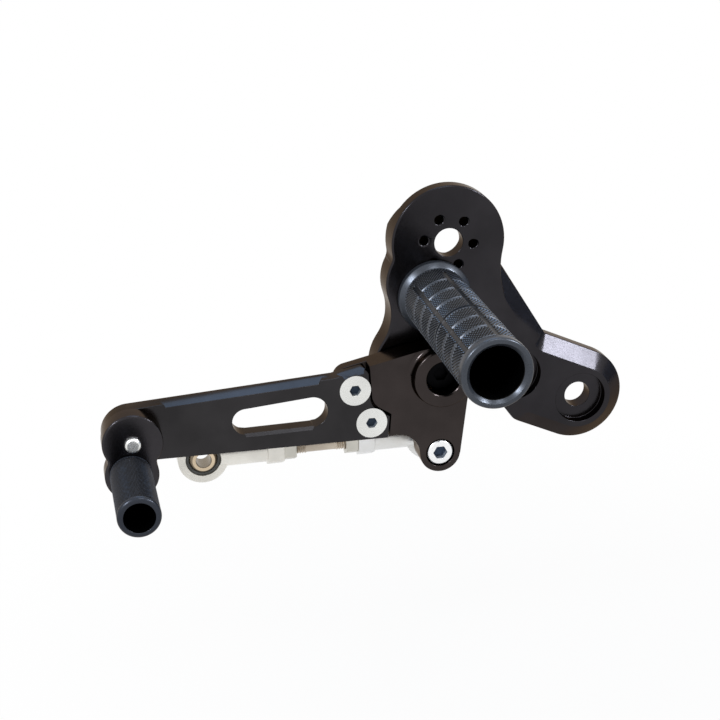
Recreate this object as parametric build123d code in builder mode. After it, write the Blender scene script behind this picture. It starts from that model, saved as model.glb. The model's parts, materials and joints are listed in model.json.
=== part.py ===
from build123d import *
from math import cos, hypot, radians, sin, sqrt
import os

# A left-hand rear set for a motorbike: a hanger plate with a fixed footpeg, and a gear
# lever on a pivot below the peg, with its toe peg and its shift rod.
# Millimetres. +X points to the rear of the bike, +Z up, -Y outboard, towards the rider's foot.
# The origin is midway between the two frame bolt holes, on the plate's back face.
# Places across the plate are (X, Z) pairs. Depths are distances outboard of the back face.

# Spacing of the axes, all parallel to Y
pivot_ahead = 48.4
pivot_up = 13.9
peg_above_pivot = 28.4
peg_ahead_of_pivot = 0.3
top_hole_above_peg = 21.2
top_hole_behind_peg = 5.7
ear_below_pivot = 33.2
ear_behind_pivot = 0.3
lever_reach = 120.6
toe_screw_below_pivot = 14.3
toe_axis_below_screw = 12.2
toe_axis_ahead_of_screw = 1.3
rod_reach = 92.2
rod_drop = 1.3

# Hanger plate
plate_thick = 11.0
edge_break = 0.5
top_lobe_r = 22.5
waist_r = 36.0
peg_lobe_ahead = 0.7
peg_lobe_above = 5.6
peg_lobe_r = 18.2
peg_lobe_blend = 5.0
pivot_lobe_ahead = 3.3
pivot_lobe_below = 1.0
pivot_lobe_r = 20.7
pivot_lobe_blend = 20.0
rim_thick = 6.0
rim_ramp_low = 5.8
rim_ramp_high = 13.7
top_hole_r = 5.65
top_recess_r = 7.6
top_recess_depth = 5.2
tapped_circle_r = 9.9
tapped_hole_r = 1.65
tapped_sink_r = 2.15
tapped_count = 6
tapped_turn = -6.6

# Arm of the plate, with the frame bolt holes
bolt_spacing = 30.5
bolt_slope = -23.6
arm_half_width = 19.2
flank_behind_top_hole = 23.1
flank_below_top_hole = 12.1
flank_slope = -57.5
flank_overlap = 13.5
arm_bevel_width = 6.5
arm_bevel_depth = 5.4
arm_corner_r = 2.0
arm_root_ahead = 23.5
arm_root_below = 0.7
arm_heel_slope = 126.9
arm_heel_r = 7.5
frame_hole_r = 5.3
frame_sink_r = 10.5
frame_sink_depth = 3.9

# Footpeg
flange_r = 14.5
flange_thick = 4.5
flange_bevel = 1.8
peg_length = 85.4
peg_r = 12.65
peg_floor_r = 12.05
peg_end_r = 13.0
peg_end_land = 3.8
peg_end_round = 1.2
peg_mouth_bevel = 1.5
peg_bore_r = 9.55
peg_bore_depth = 62.0
strip_count = 6
strip_groove_width = 1.8
strip_groove_turn = 83.8
strip_groove_start = 4.0
ring_pitch = 10.5
ring_width = 1.1
ring_wide = 1.6
ring_wide_index = 3

# M8 countersunk bolt that holds the footpeg
peg_bolt_r = 4.0
peg_bolt_head_r = 8.0
peg_bolt_length = 27.0
peg_bolt_socket = 5.0
peg_tap_spare = 2.0

# Lever pivot
washer_thick = 1.0
washer_r = 11.0
sleeve_r = 6.0
bush_wall = 2.0
bush_length = 6.0
sleeve_end_play = 0.2
pivot_bolt_r = 4.0
pivot_head_r = 6.5
pivot_head_height = 4.0
pivot_socket = 5.0
pivot_bolt_inset = 1.0

# Lever hub
hub_thick = 11.0
tongue_thick = 5.0
hub_head_r = 12.1
hub_top_slope = 13.0
tongue_reach = 41.1
tongue_corner_r = 5.5
lever_bottom_below_pivot = 24.1
ear_r = 8.15
ear_blend = 9.0
boss_r = 11.85
boss_height = 5.0
boss_bore_r = 6.75
boss_break = 0.7
boss_rim_r = 0.9
boss_root_r = 2.0
seat_knee_ahead = 27.4
seat_knee_below = 10.3
seat_point_ahead = 19.9
seat_point_below = 14.8
seat_upper_slope = -85.9
seat_lower_slope = -93.9
seat_overrun = 30.0
seat_knee_r = 7.0
ear_sink_r = 5.75
ear_sink_depth = 6.0

# Lever arm
arm_thick = 7.0
seat_gap = 0.8
toe_end_r = 10.9
arm_top_slope = 4.2
arm_kink_ahead = 42.8
arm_bottom_below_toe = 10.4
arm_top_drop = 0.5
arm_tip_r = 2.0
slot_front_behind_toe = 43.6
slot_front_above_toe = 1.9
slot_front_r = 5.2
slot_rear_ahead = 51.2
slot_rear_below = 10.8
slot_rear_r = 6.1
top_bevel_behind_toe = 13.2
top_bevel_ahead = 48.6
top_bevel_width = 1.45
top_bevel_depth = 4.0
tip_bevel_ahead = 35.1
tip_bevel_length = 8.0
tip_bevel_width = 1.3
tip_bevel_depth = 3.0
slot_bevel_width = 1.2
slot_bevel_depth = 1.0

# M6 fasteners
upper_screw_inset = 6.8
upper_screw_below = 3.4
lower_screw_inset = 13.3
lower_screw_below = 17.4
m6_r = 3.0
csk_head_r = 6.2
csk_socket = 4.0
csk_socket_depth = 2.3
cap_head_r = 5.15
cap_head_height = 6.0
cap_socket = 5.0
cap_socket_depth = 3.0
nut_flats = 10.0
nut_height = 5.0
jam_nut_flats = 9.0
ear_bolt_spare = 1.5

# Toe-peg carrier and toe peg
carrier_thick = 7.5
carrier_upper_r = 11.4
carrier_lower_behind = 0.5
carrier_lower_below = 0.7
carrier_lower_r = 10.2
carrier_blend = 3.0
toe_screw_proud = 2.0
toe_screw_point = 0.7
toe_peg_r = 8.0
toe_peg_length = 37.1
toe_peg_bore_r = 5.75
toe_peg_bore_depth = 26.0
toe_peg_end_round = 1.5
toe_bolt_grip = 8.0
toe_tap_spare = 1.5

# Shift rod with two female rod ends
spacer_length = 4.5
spacer_r = 5.0
ball_r = 6.35
ball_width = 9.0
eye_r = 10.0
eye_width = 6.75
liner_r = 6.9
liner_width = 6.0
shank_r = 4.75
rear_end_length = 29.8
front_end_length = 32.2
rod_hex_flats = 11.0
rod_hex_length = 6.6
hex_turn = 30.0
stud_plain_r = 2.6
stud_plain_length = 11.0
stud_grip = 10.0
stud_tap_depth = 12.0

# Clearances
running = 0.04
thread_clear = 0.05
bolt_clear = 0.15
press_clear = 0.02

# Places of the axes across the plate
PIVOT = (-pivot_ahead, pivot_up)
PEG_AXIS = (PIVOT[0] - peg_ahead_of_pivot, PIVOT[1] + peg_above_pivot)
TOP_HOLE = (PEG_AXIS[0] + top_hole_behind_peg, PEG_AXIS[1] + top_hole_above_peg)
EAR_BOLT = (PIVOT[0] + ear_behind_pivot, PIVOT[1] - ear_below_pivot)
FRONT_EYE = (EAR_BOLT[0] - rod_reach, EAR_BOLT[1] - rod_drop)
TOE_SCREW = (PIVOT[0] - lever_reach, PIVOT[1] - toe_screw_below_pivot)
TOE_AXIS = (TOE_SCREW[0] - toe_axis_ahead_of_screw, TOE_SCREW[1] - toe_axis_below_screw)
tongue_end_x = PIVOT[0] - tongue_reach
lever_bottom_z = PIVOT[1] - lever_bottom_below_pivot
ARM_SCREWS = {
    "arm_screw_upper": (tongue_end_x + upper_screw_inset, PIVOT[1] - upper_screw_below),
    "arm_screw_lower": (tongue_end_x + lower_screw_inset, PIVOT[1] - lower_screw_below),
}

# Depths of the stack, outboard of the plate's back face
hub_back = plate_thick + washer_thick
tongue_front = hub_back + tongue_thick
hub_front = hub_back + hub_thick
boss_front = hub_front + boss_height
arm_front = tongue_front + arm_thick
carrier_front = arm_front + carrier_thick
toe_end = carrier_front + toe_peg_length
peg_end = plate_thick + peg_length
bush_front = hub_back + bush_length
sleeve_front = bush_front + sleeve_end_play
ear_seat = hub_front - ear_sink_depth
rod_depth = hub_back - spacer_length - ball_width / 2
nut_back = rod_depth - ball_width / 2 - nut_height
bush_r = sleeve_r + running + bush_wall
eye_spacing = hypot(rod_reach, rod_drop)


def outboard(depth):
    """Plane parallel to the plate at a depth, drawn in (X, Z)."""
    return Plane.XZ.offset(depth)


def turned(at):
    """Plane through a Y axis for half profiles, drawn in (radius, depth)."""
    return Plane(origin=(at[0], 0, at[1]), x_dir=(1, 0, 0), z_dir=(0, 0, -1))


def y_axis(at):
    """Axis parallel to Y through a place on the plate."""
    return Axis((at[0], 0, at[1]), (0, 1, 0))


def heading(slope):
    """Direction across the plate at a slope."""
    return Vector(cos(radians(slope)), sin(radians(slope)))


def on_line(through, slope, x):
    """Point at x on a sloping line across the plate."""
    return (x, through[1] + (x - through[0]) * sin(radians(slope)) / cos(radians(slope)))


def polar(at, angle, distance):
    """Point at an angle and a distance from a place on the plate."""
    return (at[0] + distance * cos(radians(angle)), at[1] + distance * sin(radians(angle)))


def bore(at, radius, low, high):
    """Cut a round hole along Y between two depths."""
    with BuildSketch(outboard(low)) as mouth:
        with Locations(at):
            Circle(radius)
    extrude(mouth.sketch, amount=high - low, mode=Mode.SUBTRACT)


def mouth_edge(builder, radius):
    """Outermost circular edge of a bore."""
    rims = builder.edges().filter_by(GeomType.CIRCLE).filter_by(lambda e: abs(e.radius - radius) < 0.001)
    return rims.sort_by(Axis.Y)[0]


def socket(at, flats, face, depth):
    """Cut a hexagon socket: a positive depth goes outboard, a negative one inboard."""
    with BuildSketch(outboard(face)) as mouth:
        with Locations(at):
            RegularPolygon(flats / 2, 6, major_radius=False)
    extrude(mouth.sketch, amount=depth, mode=Mode.SUBTRACT)


def spin(at, points, mode=Mode.ADD):
    """Turn a half profile of (radius, depth) points about a Y axis."""
    with BuildSketch(turned(at)) as half:
        with BuildLine():
            Polyline(*points, close=True)
        make_face()
    revolve(half.sketch, axis=y_axis(at), mode=mode)


def countersunk(at, radius, head_r, face, length, clear=0.0, mode=Mode.ADD):
    """Countersunk screw, or its hole with a clearance. A negative length points inboard."""
    sense = 1 if length > 0 else -1
    neck = face + sense * (head_r - radius)
    tip = face + length
    spin(
        at,
        [(0, face), (head_r + clear, face), (radius + clear, neck), (radius + clear, tip), (0, tip)],
        mode,
    )


def keep(name, builder):
    """Label a finished piece and write it."""
    builder.part.label = name
    export_step(builder.part, f"parts/{name}.step")


os.makedirs("parts", exist_ok=True)

# Hanger plate: a bevelled arm for the frame bolts, joined to three upright lobes
BOLT_ALONG = heading(bolt_slope)
BOLT_ACROSS = Vector(-BOLT_ALONG.Y, BOLT_ALONG.X)
REAR_BOLT = BOLT_ALONG * (bolt_spacing / 2)
FRONT_BOLT = REAR_BOLT * -1
flank_through = Vector(TOP_HOLE[0] + flank_behind_top_hole, TOP_HOLE[1] - flank_below_top_hole)
flank_dir = heading(flank_slope)
flank_out = Vector(-flank_dir.Y, flank_dir.X)
heel_dir = heading(arm_heel_slope)
heel_out = Vector(-heel_dir.Y, heel_dir.X)


def meet(point_a, along_a, point_b, along_b):
    """Point where two lines across the plate cross."""
    turn = along_a.X * along_b.Y - along_a.Y * along_b.X
    gap = point_b - point_a
    return point_a + along_a * ((gap.X * along_b.Y - gap.Y * along_b.X) / turn)


def arm_outline(depth, inset):
    """Outline of the plate's arm at a depth, drawn in by an inset all round."""
    half = arm_half_width - inset
    flank = flank_through - flank_out * inset
    root = Vector(-arm_root_ahead, -arm_root_below) - heel_out * inset
    flank_top = flank - flank_dir * flank_overlap
    corner = meet(flank, flank_dir, BOLT_ACROSS * half, BOLT_ALONG)
    heel = meet(root, heel_dir, BOLT_ACROSS * -half, BOLT_ALONG)
    end_top = REAR_BOLT + BOLT_ACROSS * half
    end_tip = REAR_BOLT + BOLT_ALONG * half
    end_low = REAR_BOLT - BOLT_ACROSS * half
    with BuildSketch(outboard(depth)) as outline:
        with BuildLine():
            Polyline(end_low, heel, root, PIVOT, TOP_HOLE, flank_top, corner, end_top)
            ThreePointArc(end_top, end_tip, end_low)
        make_face()
        fillet(outline.vertices().sort_by_distance(corner)[0], arm_corner_r + inset)
        fillet(outline.vertices().sort_by_distance(heel)[0], arm_heel_r - inset)
    return outline.sketch


front_flank = flank_through - flank_out * arm_bevel_width
flank_foot = front_flank + flank_dir * (Vector(*TOP_HOLE) - front_flank).dot(flank_dir)
flank_reach = sqrt(top_lobe_r**2 - (flank_foot - Vector(*TOP_HOLE)).length ** 2)
waist_corner = flank_foot + flank_dir * flank_reach
rim_back = plate_thick - rim_thick
bevel_foot = plate_thick - arm_bevel_depth

with BuildPart() as hanger_plate:
    with BuildSketch(outboard(0)) as lobes:
        with Locations(TOP_HOLE):
            Circle(top_lobe_r)
        with Locations((PEG_AXIS[0] - peg_lobe_ahead, PEG_AXIS[1] + peg_lobe_above)):
            Circle(peg_lobe_r)
        with Locations((PIVOT[0] - pivot_lobe_ahead, PIVOT[1] - pivot_lobe_below)):
            Circle(pivot_lobe_r)
        with BuildLine():
            flank_end = waist_corner + flank_dir * waist_r
            Polyline(TOP_HOLE, flank_foot, flank_end, FRONT_BOLT, PIVOT, close=True)
        make_face()
        low_notch, high_notch = [tuple(v) for v in lobes.vertices().sort_by(Axis.X)[0:2].sort_by(Axis.Y)]
        fillet(lobes.vertices().sort_by_distance(low_notch)[0], pivot_lobe_blend)
        fillet(lobes.vertices().sort_by_distance(high_notch)[0], peg_lobe_blend)
        fillet(lobes.vertices().sort_by_distance(waist_corner)[0], waist_r)
    extrude(amount=plate_thick)
    lobe_rim = hanger_plate.faces().sort_by(Axis.Y)[0].edges().filter_by(GeomType.CIRCLE)
    chamfer(lobe_rim, edge_break)
    extrude(arm_outline(0, 0), amount=bevel_foot)
    loft([arm_outline(bevel_foot, 0), arm_outline(plate_thick, arm_bevel_width)], ruled=True)

    # Thinner rim behind the top lobe, and a recess round its hole
    with BuildSketch(Plane.YZ.offset(TOP_HOLE[0] - top_lobe_r)):
        with BuildLine():
            ramp_low = TOP_HOLE[1] + rim_ramp_low
            ramp_high = TOP_HOLE[1] + rim_ramp_high
            rim_top = TOP_HOLE[1] + 2 * top_lobe_r
            Polyline((0, ramp_low), (-rim_back, ramp_high), (-rim_back, rim_top), (0, rim_top), close=True)
        make_face()
    extrude(amount=2 * top_lobe_r, mode=Mode.SUBTRACT)
    bore(TOP_HOLE, top_hole_r, 0, plate_thick)
    bore(TOP_HOLE, top_recess_r, 0, top_recess_depth)
    for index in range(tapped_count):
        tapped_at = polar(TOP_HOLE, tapped_turn + index * 360 / tapped_count, tapped_circle_r)
        countersunk(tapped_at, tapped_hole_r, tapped_sink_r, plate_thick, -plate_thick, mode=Mode.SUBTRACT)

    # Frame bolt holes, footpeg bolt hole and the tapped pivot hole
    for bolt in (FRONT_BOLT, REAR_BOLT):
        bore(bolt, frame_hole_r, 0, plate_thick)
        bore(bolt, frame_sink_r, plate_thick - frame_sink_depth, plate_thick)
    countersunk(
        PEG_AXIS, peg_bolt_r, peg_bolt_head_r, 0, plate_thick, clear=thread_clear, mode=Mode.SUBTRACT
    )
    bore(PIVOT, pivot_bolt_r + thread_clear, 0, plate_thick)
keep("hanger_plate", hanger_plate)

# Footpeg: a flanged tube with its grip cut into blocks by ring and strip grooves
peg_root = plate_thick + flange_thick
grip_end = peg_end - peg_end_land
peg_tap_depth = peg_bolt_length - plate_thick + peg_tap_spare

with BuildPart() as footpeg:
    for low, high, radius in (
        (plate_thick, peg_root, flange_r),
        (peg_root, grip_end, peg_r),
        (grip_end, peg_end, peg_end_r),
    ):
        with BuildSketch(outboard(low)):
            with Locations(PEG_AXIS):
                Circle(radius)
        extrude(amount=high - low)
    rings = footpeg.edges().filter_by(GeomType.CIRCLE)
    chamfer(rings.filter_by(lambda e: e.radius == flange_r).sort_by(Axis.Y)[0], flange_bevel)
    fillet(footpeg.edges().filter_by(GeomType.CIRCLE).sort_by(Axis.Y)[0], peg_end_round)
    ring_middle = grip_end - ring_width / 2
    ring_index = 0
    while ring_middle > peg_root + strip_groove_start:
        width = ring_wide if ring_index == ring_wide_index else ring_width
        with BuildSketch(outboard(ring_middle - width / 2)):
            with Locations(PEG_AXIS):
                Circle(peg_r + flange_r)
                Circle(peg_floor_r, mode=Mode.SUBTRACT)
        extrude(amount=width, mode=Mode.SUBTRACT)
        ring_middle -= ring_pitch
        ring_index += 1
    groove_depth = 2 * (flange_r - peg_floor_r)
    with BuildSketch(outboard(peg_root + strip_groove_start)):
        with Locations(PEG_AXIS):
            with PolarLocations(peg_floor_r + groove_depth / 2, strip_count, strip_groove_turn):
                Rectangle(groove_depth, strip_groove_width)
    extrude(amount=grip_end - peg_root - strip_groove_start, mode=Mode.SUBTRACT)
    bore(PEG_AXIS, peg_bore_r, peg_end - peg_bore_depth, peg_end)
    bore(PEG_AXIS, peg_bolt_r + thread_clear, plate_thick, plate_thick + peg_tap_depth)
    chamfer(mouth_edge(footpeg, peg_bore_r), peg_mouth_bevel)
keep("footpeg", footpeg)

with BuildPart() as footpeg_bolt:
    countersunk(PEG_AXIS, peg_bolt_r, peg_bolt_head_r, 0, peg_bolt_length)
    socket(PEG_AXIS, peg_bolt_socket, 0, peg_bolt_r)
keep("footpeg_bolt", footpeg_bolt)

# Lever pivot: a thrust washer and a sleeve clamped to the plate, and a bush in the hub
with BuildPart() as thrust_washer:
    washer_bore = sleeve_r + bolt_clear
    spin(
        PIVOT,
        [
            (washer_bore, plate_thick),
            (washer_r, plate_thick),
            (washer_r, hub_back),
            (washer_bore, hub_back),
        ],
    )
keep("thrust_washer", thrust_washer)

with BuildPart() as pivot_sleeve:
    sleeve_bore = pivot_bolt_r + bolt_clear
    spin(
        PIVOT,
        [
            (sleeve_bore, plate_thick),
            (sleeve_r, plate_thick),
            (sleeve_r, sleeve_front),
            (sleeve_bore, sleeve_front),
        ],
    )
keep("pivot_sleeve", pivot_sleeve)

with BuildPart() as pivot_bush:
    bush_bore = sleeve_r + running
    spin(
        PIVOT,
        [(bush_bore, hub_back), (bush_r, hub_back), (bush_r, bush_front), (bush_bore, bush_front)],
    )
keep("pivot_bush", pivot_bush)

with BuildPart() as pivot_bolt:
    head_front = sleeve_front + pivot_head_height
    spin(
        PIVOT,
        [
            (0, pivot_bolt_inset),
            (pivot_bolt_r, pivot_bolt_inset),
            (pivot_bolt_r, sleeve_front),
            (pivot_head_r, sleeve_front),
            (pivot_head_r, head_front),
            (0, head_front),
        ],
    )
    chamfer(pivot_bolt.edges().sort_by(Axis.Y)[0], edge_break)
    socket(PIVOT, pivot_socket, head_front, -pivot_head_height / 2)
keep("pivot_bolt", pivot_bolt)

# Lever hub: head, tongue and ear in one plate, with a boss round the pivot
hub_top_dir = heading(hub_top_slope)
hub_top_touch = Vector(*PIVOT) + Vector(-hub_top_dir.Y, hub_top_dir.X) * hub_head_r
tongue_top = on_line(tuple(hub_top_touch), hub_top_slope, tongue_end_x)
tongue_low = (tongue_end_x, lever_bottom_z)
seat_knee = Vector(PIVOT[0] - seat_knee_ahead, PIVOT[1] - seat_knee_below)
seat_point = Vector(PIVOT[0] - seat_point_ahead, PIVOT[1] - seat_point_below)


def hub_outline(depth):
    """Outline of the hub, from the tongue's end round to the ear."""
    with BuildSketch(outboard(depth)) as outline:
        with BuildLine():
            CenterArc(PIVOT, hub_head_r, 0, 360)
            CenterArc(EAR_BOLT, ear_r, 0, 360)
        make_hull()
        with BuildLine():
            Polyline(
                hub_top_touch, tongue_top, tongue_low, (PIVOT[0], lever_bottom_z), PIVOT,
                close=True,
            )
        make_face()
        fillet(outline.vertices().sort_by_distance(tongue_top)[0], tongue_corner_r)
        fillet(outline.vertices().sort_by_distance(tongue_low)[0], tongue_corner_r)
        crook = (EAR_BOLT[0] - hub_head_r, lever_bottom_z)
        fillet(outline.vertices().sort_by_distance(crook)[0], ear_blend)
    return outline.sketch


def seat_outline(depth, gap):
    """Area in front of the tongue that the arm fills, drawn in by a gap."""
    upper_dir = heading(seat_upper_slope)
    middle_dir = (seat_point - seat_knee).normalized()
    foot_dir = heading(seat_lower_slope)
    shift = [Vector(d.Y, -d.X) * gap for d in (upper_dir, middle_dir, foot_dir)]
    inner_knee = meet(seat_knee + shift[0], upper_dir, seat_knee + shift[1], middle_dir)
    inner_point = meet(seat_knee + shift[1], middle_dir, seat_point + shift[2], foot_dir)
    top = inner_knee - upper_dir * seat_overrun
    foot = inner_point + foot_dir * seat_overrun
    far = TOE_SCREW[0] - 2 * toe_end_r
    with BuildSketch(outboard(depth)) as outline:
        with BuildLine():
            Polyline(top, inner_knee, inner_point, foot, (far, foot.Y), (far, top.Y), close=True)
        make_face()
        fillet(outline.vertices().sort_by_distance(inner_knee)[0], seat_knee_r + gap)
    return outline.sketch


def boss_root():
    """Hollow rounding at the foot of the boss, trimmed to the hub's outline."""
    hollow = Vector(boss_r + boss_root_r, hub_front + boss_root_r)
    with BuildPart() as root:
        with BuildSketch(turned(PIVOT)) as half:
            with BuildLine():
                foot = (hollow.X, hub_front)
                top = (boss_r, hollow.Y)
                ThreePointArc(foot, hollow - heading(45) * boss_root_r, top)
                Polyline(top, (boss_bore_r, hollow.Y), (boss_bore_r, hub_front), foot)
            make_face()
        revolve(half.sketch, axis=y_axis(PIVOT))
        extrude(hub_outline(hub_front), amount=boss_height, mode=Mode.INTERSECT)
    return root.part


with BuildPart() as lever_hub:
    extrude(hub_outline(hub_back), amount=hub_thick)
    extrude(seat_outline(tongue_front, 0), amount=hub_thick, mode=Mode.SUBTRACT)
    with BuildSketch(outboard(hub_front)):
        with Locations(PIVOT):
            Circle(boss_r)
    extrude(amount=boss_height)
    fillet(lever_hub.edges().sort_by(Axis.Y)[0], boss_rim_r)
    add(boss_root())
    bore(PIVOT, bush_r + press_clear, hub_back, bush_front)
    bore(PIVOT, boss_bore_r, bush_front, boss_front)
    chamfer(mouth_edge(lever_hub, boss_bore_r), boss_break)
    bore(EAR_BOLT, m6_r + bolt_clear, hub_back, hub_front)
    bore(EAR_BOLT, ear_sink_r, ear_seat, hub_front)
    for at in ARM_SCREWS.values():
        bore(at, m6_r + thread_clear, hub_back, tongue_front)
keep("lever_hub", lever_hub)

# Lever arm: a flat bar with a long slot, seated in front of the tongue
arm_top_start = polar(TOE_SCREW, 90 + arm_top_slope, toe_end_r)
arm_kink = on_line(arm_top_start, arm_top_slope, PIVOT[0] - arm_kink_ahead)
arm_tip = on_line(
    (hub_top_touch.X, hub_top_touch.Y - arm_top_drop), hub_top_slope, seat_point.X + tongue_corner_r
)
arm_bottom_z = TOE_SCREW[1] - arm_bottom_below_toe
slot_front_at = (TOE_SCREW[0] + slot_front_behind_toe, TOE_SCREW[1] + slot_front_above_toe)
slot_rear_at = (PIVOT[0] - slot_rear_ahead, PIVOT[1] - slot_rear_below)
top_bevel_from = TOE_SCREW[0] + top_bevel_behind_toe
top_bevel_to = PIVOT[0] - top_bevel_ahead
arm_top_dir = Vector(cos(radians(arm_top_slope)), 0, sin(radians(arm_top_slope)))
arm_top_up = Vector(-arm_top_dir.Z, 0, arm_top_dir.X)
tip_dir = Vector(hub_top_dir.X, 0, hub_top_dir.Y)
tip_up = Vector(-tip_dir.Z, 0, tip_dir.X)


def bevel(middle, along, up, width, depth, length):
    """Cut a bevel with slanting ends along an edge of the arm's front face."""
    slant = Vector(0, depth, 0) + up * width
    normal = along.cross(slant)
    with BuildSketch(Plane(origin=middle, x_dir=along, z_dir=normal)) as face:
        reach = slant.length
        with BuildLine():
            Polyline(
                (-length / 2, -reach), (length / 2, -reach), (length / 2, 0),
                (length / 2 + reach, 2 * reach), (-length / 2 - reach, 2 * reach), (-length / 2, 0),
                close=True,
            )
        make_face()
    extrude(face.sketch, amount=max(width, depth), mode=Mode.SUBTRACT)


with BuildPart() as lever_arm:
    with BuildSketch(outboard(tongue_front)) as bar:
        with Locations(TOE_SCREW):
            Circle(toe_end_r)
        with BuildLine():
            Polyline(
                arm_top_start, arm_kink, arm_tip, (arm_tip[0], lever_bottom_z),
                (TOE_SCREW[0], arm_bottom_z), TOE_SCREW,
                close=True,
            )
        make_face()
    extrude(amount=arm_thick)
    extrude(seat_outline(tongue_front, seat_gap), amount=arm_thick, mode=Mode.INTERSECT)
    tip = lever_arm.edges().filter_by(Axis.Y).sort_by_distance((seat_knee.X, -arm_front, arm_tip[1]))[0]
    fillet(tip, arm_tip_r)

    # Slot through the bar, bevelled along its lower edge, and two bevels along the top edge
    with BuildSketch(outboard(tongue_front)) as slot:
        with BuildLine():
            CenterArc(slot_front_at, slot_front_r, 0, 360)
            CenterArc(slot_rear_at, slot_rear_r, 0, 360)
        make_hull()
    extrude(amount=arm_thick, mode=Mode.SUBTRACT)
    bevel_mid_x = (top_bevel_from + top_bevel_to) / 2
    bevel_mid = on_line(arm_top_start, arm_top_slope, bevel_mid_x)
    bevel(
        Vector(bevel_mid[0], -arm_front, bevel_mid[1]) - arm_top_up * top_bevel_width,
        arm_top_dir, arm_top_up, top_bevel_width, top_bevel_depth, top_bevel_to - top_bevel_from,
    )
    tip_mid = on_line(arm_tip, hub_top_slope, PIVOT[0] - tip_bevel_ahead)
    bevel(
        Vector(tip_mid[0], -arm_front, tip_mid[1]) - tip_up * tip_bevel_width,
        tip_dir, tip_up, tip_bevel_width, tip_bevel_depth, tip_bevel_length,
    )
    slot_low = [(x, z - r) for (x, z), r in ((slot_front_at, slot_front_r), (slot_rear_at, slot_rear_r))]
    slot_dir = Vector(slot_low[1][0] - slot_low[0][0], 0, slot_low[1][1] - slot_low[0][1]).normalized()
    slot_up = Vector(-slot_dir.Z, 0, slot_dir.X)
    slot_mid = Vector(
        (slot_low[0][0] + slot_low[1][0]) / 2, -arm_front, (slot_low[0][1] + slot_low[1][1]) / 2
    )
    bevel(
        slot_mid - slot_up * slot_bevel_width,
        slot_dir, slot_up, slot_bevel_width, slot_bevel_depth, slot_low[1][0] - slot_low[0][0],
    )
    for at in ARM_SCREWS.values():
        countersunk(
            at, m6_r, csk_head_r, arm_front, -arm_thick, clear=thread_clear, mode=Mode.SUBTRACT
        )
    countersunk(
        TOE_SCREW, m6_r, csk_head_r, tongue_front, arm_thick, clear=thread_clear, mode=Mode.SUBTRACT
    )
keep("lever_arm", lever_arm)

# Countersunk screws that hold the arm to the tongue
for name, at in ARM_SCREWS.items():
    with BuildPart() as arm_screw:
        countersunk(at, m6_r, csk_head_r, arm_front, -(arm_thick + tongue_thick))
        socket(at, csk_socket, arm_front, -csk_socket_depth)
    keep(name, arm_screw)

# Toe-peg carrier: a two-lobed plate that turns about its screw to set the toe peg's height
toe_screw_length = arm_thick + carrier_thick + toe_screw_proud
toe_bolt_length = carrier_thick + toe_bolt_grip

with BuildPart() as toe_carrier:
    with BuildSketch(outboard(arm_front)) as lobes:
        with Locations(TOE_SCREW):
            Circle(carrier_upper_r)
        with Locations((TOE_AXIS[0] + carrier_lower_behind, TOE_AXIS[1] - carrier_lower_below)):
            Circle(carrier_lower_r)
        for side in (0, -1):
            fillet(lobes.vertices().sort_by(Axis.X)[side], carrier_blend)
    extrude(amount=carrier_thick)
    chamfer(toe_carrier.faces().sort_by(Axis.Y)[0].edges(), edge_break)
    bore(TOE_SCREW, m6_r + thread_clear, arm_front, carrier_front)
    countersunk(
        TOE_AXIS, m6_r, csk_head_r, arm_front, carrier_thick, clear=thread_clear, mode=Mode.SUBTRACT
    )
keep("toe_carrier", toe_carrier)

with BuildPart() as toe_carrier_screw:
    countersunk(TOE_SCREW, m6_r, csk_head_r, tongue_front, toe_screw_length)
    socket(TOE_SCREW, csk_socket, tongue_front, csk_socket_depth)
    chamfer(toe_carrier_screw.faces().sort_by(Axis.Y)[0].edges(), toe_screw_point)
keep("toe_carrier_screw", toe_carrier_screw)

with BuildPart() as toe_peg_screw:
    countersunk(TOE_AXIS, m6_r, csk_head_r, arm_front, toe_bolt_length)
    socket(TOE_AXIS, csk_socket, arm_front, csk_socket_depth)
keep("toe_peg_screw", toe_peg_screw)

# Toe peg: a plain tube with a knurled grip
with BuildPart() as toe_peg:
    with BuildSketch(outboard(carrier_front)):
        with Locations(TOE_AXIS):
            Circle(toe_peg_r)
    extrude(amount=toe_peg_length)
    fillet(toe_peg.faces().sort_by(Axis.Y)[0].edges(), toe_peg_end_round)
    bore(TOE_AXIS, toe_peg_bore_r, toe_end - toe_peg_bore_depth, toe_end)
    bore(TOE_AXIS, m6_r + thread_clear, carrier_front, carrier_front + toe_bolt_grip + toe_tap_spare)
    chamfer(mouth_edge(toe_peg, toe_peg_bore_r), edge_break)
keep("toe_peg", toe_peg)

# Ear bolt with its spacer and nut, which clamp the rear ball of the shift rod
with BuildPart() as ear_bolt:
    spin(
        EAR_BOLT,
        [
            (0, nut_back - ear_bolt_spare),
            (m6_r, nut_back - ear_bolt_spare),
            (m6_r, ear_seat),
            (cap_head_r, ear_seat),
            (cap_head_r, ear_seat + cap_head_height),
            (0, ear_seat + cap_head_height),
        ],
    )
    chamfer(ear_bolt.edges().filter_by(GeomType.CIRCLE).sort_by(Axis.Y)[0], edge_break)
    socket(EAR_BOLT, cap_socket, ear_seat + cap_head_height, -cap_socket_depth)
keep("ear_bolt", ear_bolt)

with BuildPart() as rod_spacer:
    spacer_bore = m6_r + bolt_clear
    spacer_back = hub_back - spacer_length
    spin(
        EAR_BOLT,
        [
            (spacer_bore, spacer_back),
            (spacer_r, spacer_back),
            (spacer_r, hub_back),
            (spacer_bore, hub_back),
        ],
    )
keep("rod_spacer", rod_spacer)

with BuildPart() as ear_nut:
    with BuildSketch(outboard(nut_back)):
        with Locations(EAR_BOLT):
            RegularPolygon(nut_flats / 2, 6, major_radius=False)
            Circle(m6_r + thread_clear, mode=Mode.SUBTRACT)
    extrude(amount=nut_height)
keep("ear_nut", ear_nut)

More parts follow.
